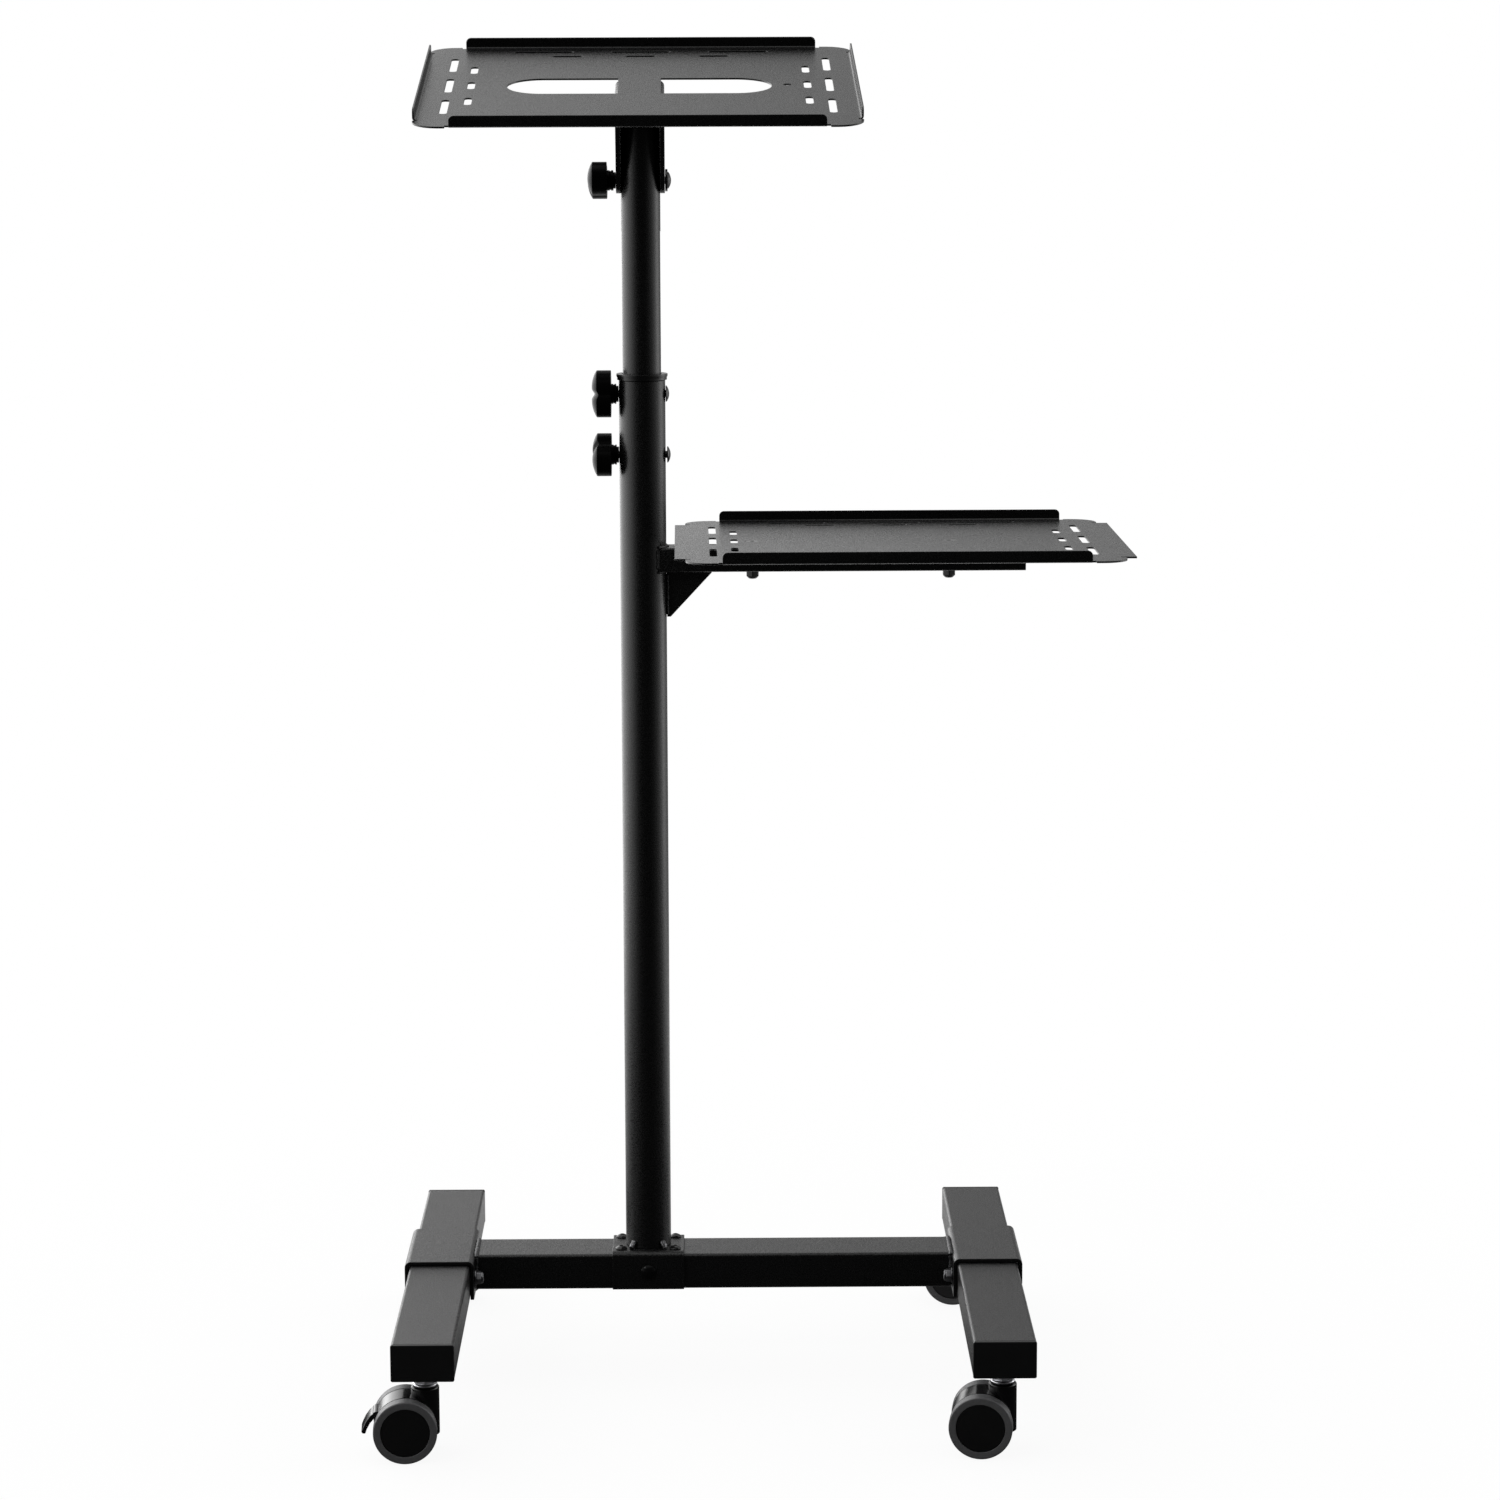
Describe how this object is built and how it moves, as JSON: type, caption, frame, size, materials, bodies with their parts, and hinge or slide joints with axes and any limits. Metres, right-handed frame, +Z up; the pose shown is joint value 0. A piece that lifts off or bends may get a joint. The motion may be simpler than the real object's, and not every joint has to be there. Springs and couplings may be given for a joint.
{
  "type": "projector table",
  "caption": "Rolling stand with an H base on swivel castors, a height-adjustable mast, a tilting perforated top tray and a level side shelf",
  "frame": {"origin": "on the floor under the middle of the whole object's bounding box", "axes": "+Z up, +X to the object's right as it stands in the picture, -Y towards its front"},
  "size_m": [0.6194, 0.4849, 1.1077],
  "materials": {
    "powder_coat": "fine satin black powder coat",
    "mast_coat": "smoother satin black coat on the round tubes",
    "plastic": "moulded black plastic",
    "zinc": "bright zinc plate",
    "black_steel": "glossy black bolts",
    "tyre": "dark grey tread ring"
  },
  "bodies": {
    "base": {"cross_beam": "powder_coat", "left_leg": "powder_coat", "right_leg": "powder_coat", "left_saddle": "powder_coat", "right_saddle": "powder_coat", "left_saddle_bolt": "zinc", "right_saddle_bolt": "zinc", "left_leg_front_plug": "plastic", "left_leg_rear_plug": "plastic", "right_leg_front_plug": "plastic", "right_leg_rear_plug": "plastic", "mast_foot": "powder_coat", "foot_bolt_1": "black_steel", "foot_bolt_2": "black_steel", "foot_bolt_3": "black_steel", "foot_bolt_4": "black_steel", "foot_front_bolt": "black_steel", "outer_mast": "mast_coat", "mast_bush": "plastic", "upper_clamp_bolt": "black_steel", "lower_clamp_bolt": "black_steel", "shelf_arm": "powder_coat", "shelf_gusset": "powder_coat", "lower_shelf": "powder_coat", "shelf_bolt_left": "black_steel", "shelf_bolt_right": "black_steel", "castor_front_left_stem": "zinc", "castor_front_right_stem": "zinc", "castor_rear_left_stem": "zinc", "castor_rear_right_stem": "zinc"},
    "inner_mast": {"inner_mast": "mast_coat", "tilt_bolt": "black_steel"},
    "tray": {"top_tray": "powder_coat", "tray_bracket": "powder_coat"},
    "upper_clamp_knob": {"upper_clamp_knob": "plastic"},
    "lower_clamp_knob": {"lower_clamp_knob": "plastic"},
    "tilt_knob": {"tilt_knob": "plastic"},
    "castor_front_left": {"castor_front_left_hood": "plastic"},
    "castor_front_left_near_wheel": {"castor_front_left_near_hub": "plastic", "castor_front_left_near_tyre": "tyre"},
    "castor_front_left_far_wheel": {"castor_front_left_far_hub": "plastic", "castor_front_left_far_tyre": "tyre"},
    "castor_front_left_brake": {"castor_front_left_brake": "plastic"},
    "castor_front_right": {"castor_front_right_hood": "plastic"},
    "castor_front_right_near_wheel": {"castor_front_right_near_hub": "plastic", "castor_front_right_near_tyre": "tyre"},
    "castor_front_right_far_wheel": {"castor_front_right_far_hub": "plastic", "castor_front_right_far_tyre": "tyre"},
    "castor_rear_left": {"castor_rear_left_hood": "plastic"},
    "castor_rear_left_near_wheel": {"castor_rear_left_near_hub": "plastic", "castor_rear_left_near_tyre": "tyre"},
    "castor_rear_left_far_wheel": {"castor_rear_left_far_hub": "plastic", "castor_rear_left_far_tyre": "tyre"},
    "castor_rear_right": {"castor_rear_right_hood": "plastic"},
    "castor_rear_right_near_wheel": {"castor_rear_right_near_hub": "plastic", "castor_rear_right_near_tyre": "tyre"},
    "castor_rear_right_far_wheel": {"castor_rear_right_far_hub": "plastic", "castor_rear_right_far_tyre": "tyre"},
    "castor_rear_right_brake": {"castor_rear_right_brake": "plastic"}
  },
  "joints": [
    {"name": "mast_slide", "type": "slide", "parent": "base", "child": "inner_mast", "axis": [0, 0, 1], "range_m": [-0.125, 0.14]},
    {"name": "tray_tilt", "type": "hinge", "parent": "inner_mast", "child": "tray", "pos_m": [-0.0851, 0.02397, 0.993], "axis": [1, 0.0075, 0], "range_deg": [-56.5, 33.5]},
    {"name": "upper_clamp_turn", "type": "hinge", "parent": "base", "child": "upper_clamp_knob", "pos_m": [-0.1044, 0.02397, 0.8201], "axis": [-1, 0, 0], "continuous": true},
    {"name": "lower_clamp_turn", "type": "hinge", "parent": "base", "child": "lower_clamp_knob", "pos_m": [-0.1044, 0.02397, 0.7703], "axis": [-1, 0, 0], "continuous": true},
    {"name": "tilt_knob_turn", "type": "hinge", "parent": "inner_mast", "child": "tilt_knob", "pos_m": [-0.1054, 0.02397, 0.993], "axis": [-1, 0, 0], "continuous": true},
    {"name": "castor_front_left_swivel", "type": "hinge", "parent": "base", "child": "castor_front_left", "pos_m": [-0.2586, -0.21603, 0.0574], "axis": [0, 0, 1], "continuous": true},
    {"name": "castor_front_left_near_roll", "type": "hinge", "parent": "castor_front_left", "child": "castor_front_left_near_wheel", "pos_m": [-0.27457, -0.21701, 0.0253], "axis": [-0.061, 0.9981, 0], "continuous": true},
    {"name": "castor_front_left_far_roll", "type": "hinge", "parent": "castor_front_left", "child": "castor_front_left_far_wheel", "pos_m": [-0.27457, -0.21701, 0.0253], "axis": [-0.061, 0.9981, 0], "continuous": true},
    {"name": "castor_front_left_brake_press", "type": "hinge", "parent": "castor_front_left", "child": "castor_front_left_brake", "pos_m": [-0.29703, -0.21838, 0.036], "axis": [0.061, -0.9981, 0], "range_deg": [0, 20]},
    {"name": "castor_front_right_swivel", "type": "hinge", "parent": "base", "child": "castor_front_right", "pos_m": [0.1983, -0.21603, 0.0574], "axis": [0, 0, 1], "continuous": true},
    {"name": "castor_front_right_near_roll", "type": "hinge", "parent": "castor_front_right", "child": "castor_front_right_near_wheel", "pos_m": [0.18242, -0.21408, 0.0253], "axis": [0.1219, 0.9925, 0], "continuous": true},
    {"name": "castor_front_right_far_roll", "type": "hinge", "parent": "castor_front_right", "child": "castor_front_right_far_wheel", "pos_m": [0.18242, -0.21408, 0.0253], "axis": [0.1219, 0.9925, 0], "continuous": true},
    {"name": "castor_rear_left_swivel", "type": "hinge", "parent": "base", "child": "castor_rear_left", "pos_m": [-0.2586, 0.19597, 0.0574], "axis": [0, 0, 1], "continuous": true},
    {"name": "castor_rear_left_near_roll", "type": "hinge", "parent": "castor_rear_left", "child": "castor_rear_left_near_wheel", "pos_m": [-0.26888, 0.20822, 0.0253], "axis": [0.766, 0.6428, 0], "continuous": true},
    {"name": "castor_rear_left_far_roll", "type": "hinge", "parent": "castor_rear_left", "child": "castor_rear_left_far_wheel", "pos_m": [-0.26888, 0.20822, 0.0253], "axis": [0.766, 0.6428, 0], "continuous": true},
    {"name": "castor_rear_right_swivel", "type": "hinge", "parent": "base", "child": "castor_rear_right", "pos_m": [0.1983, 0.19597, 0.0574], "axis": [0, 0, 1], "continuous": true},
    {"name": "castor_rear_right_near_roll", "type": "hinge", "parent": "castor_rear_right", "child": "castor_rear_right_near_wheel", "pos_m": [0.18234, 0.19708, 0.0253], "axis": [0.0698, 0.9976, 0], "continuous": true},
    {"name": "castor_rear_right_far_roll", "type": "hinge", "parent": "castor_rear_right", "child": "castor_rear_right_far_wheel", "pos_m": [0.18234, 0.19708, 0.0253], "axis": [0.0698, 0.9976, 0], "continuous": true},
    {"name": "castor_rear_right_brake_press", "type": "hinge", "parent": "castor_rear_right", "child": "castor_rear_right_brake", "pos_m": [0.1599, 0.19865, 0.036], "axis": [-0.0698, -0.9976, 0], "range_deg": [0, 20]}
  ]
}
